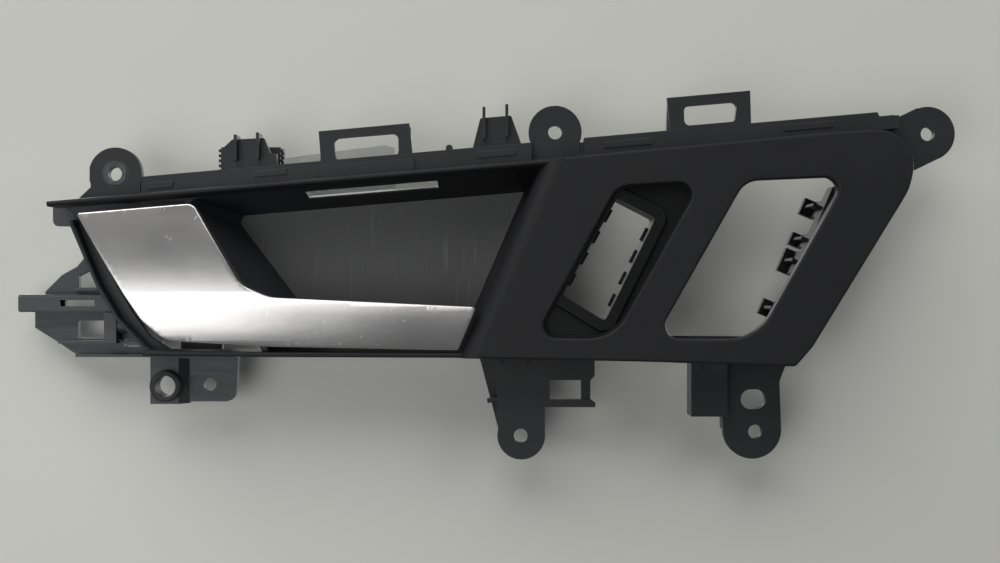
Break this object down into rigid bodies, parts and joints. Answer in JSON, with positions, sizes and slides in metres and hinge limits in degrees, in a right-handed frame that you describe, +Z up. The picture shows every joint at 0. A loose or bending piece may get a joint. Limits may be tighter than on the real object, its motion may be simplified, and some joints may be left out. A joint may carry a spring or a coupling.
{
  "type": "car interior door handle",
  "caption": "Inside door release lever in a black trim panel with a lit finger recess, two switch openings and screw ears along its edges.",
  "frame": {"origin": "centre of the upper middle screw hole, on the plane where the screw ears seat against the door", "axes": "+X along the door from the lever's hinge end to the switch end, +Z up, -Y towards the cabin"},
  "size_m": [0.3533, 0.0438, 0.1373],
  "materials": {
    "soft_touch_black": "matte charcoal paint",
    "black_plastic": "fine moulded grain",
    "grey_glass_filled_plastic": "streaked, dull",
    "grained_black": "grained, lightly scratched",
    "clear_plastic": "clear, slightly frosted",
    "circuit_board": "solder mask",
    "led_lens": "clear resin",
    "spring_steel": "bright",
    "rubber": "dull",
    "steel": "ground",
    "satin_silver": "satin metallic lacquer",
    "acetal": "natural",
    "zinc": "as cast",
    "black_steel": "black zinc plate"
  },
  "bodies": {
    "housing": {"front_bezel": "soft_touch_black", "carrier_frame": "black_plastic", "bearing_bracket": "grey_glass_filled_plastic", "recess_floor": "grained_black", "lock_switch_surround": "black_plastic", "memory_switch_frame": "black_plastic", "light_guide": "clear_plastic", "lamp_housing": "black_plastic", "lamp_board": "circuit_board", "lamp_led": "led_lens", "lamp_contacts": "spring_steel", "stop_buffer": "rubber", "fixing_bush": "rubber", "hinge_pin": "steel", "pin_clip": "spring_steel", "return_spring": "spring_steel", "bezel_screws": "black_steel", "bracket_screws": "black_steel"},
    "lever": {"lever_shell": "satin_silver", "lever_core": "black_plastic", "upper_lever_bush": "acetal", "lower_lever_bush": "acetal", "lever_back_cover": "soft_touch_black", "cable_eye": "zinc"}
  },
  "joints": [
    {"name": "lever_hinge", "type": "hinge", "parent": "housing", "child": "lever", "pos_m": [-0.1485, -0.007, -0.0518], "axis": [0, 0, -1], "range_deg": [0, 20], "stiffness_Nm_per_rad": 0.5, "springref_deg": -28.65, "deforming": ["return_spring"]}
  ]
}
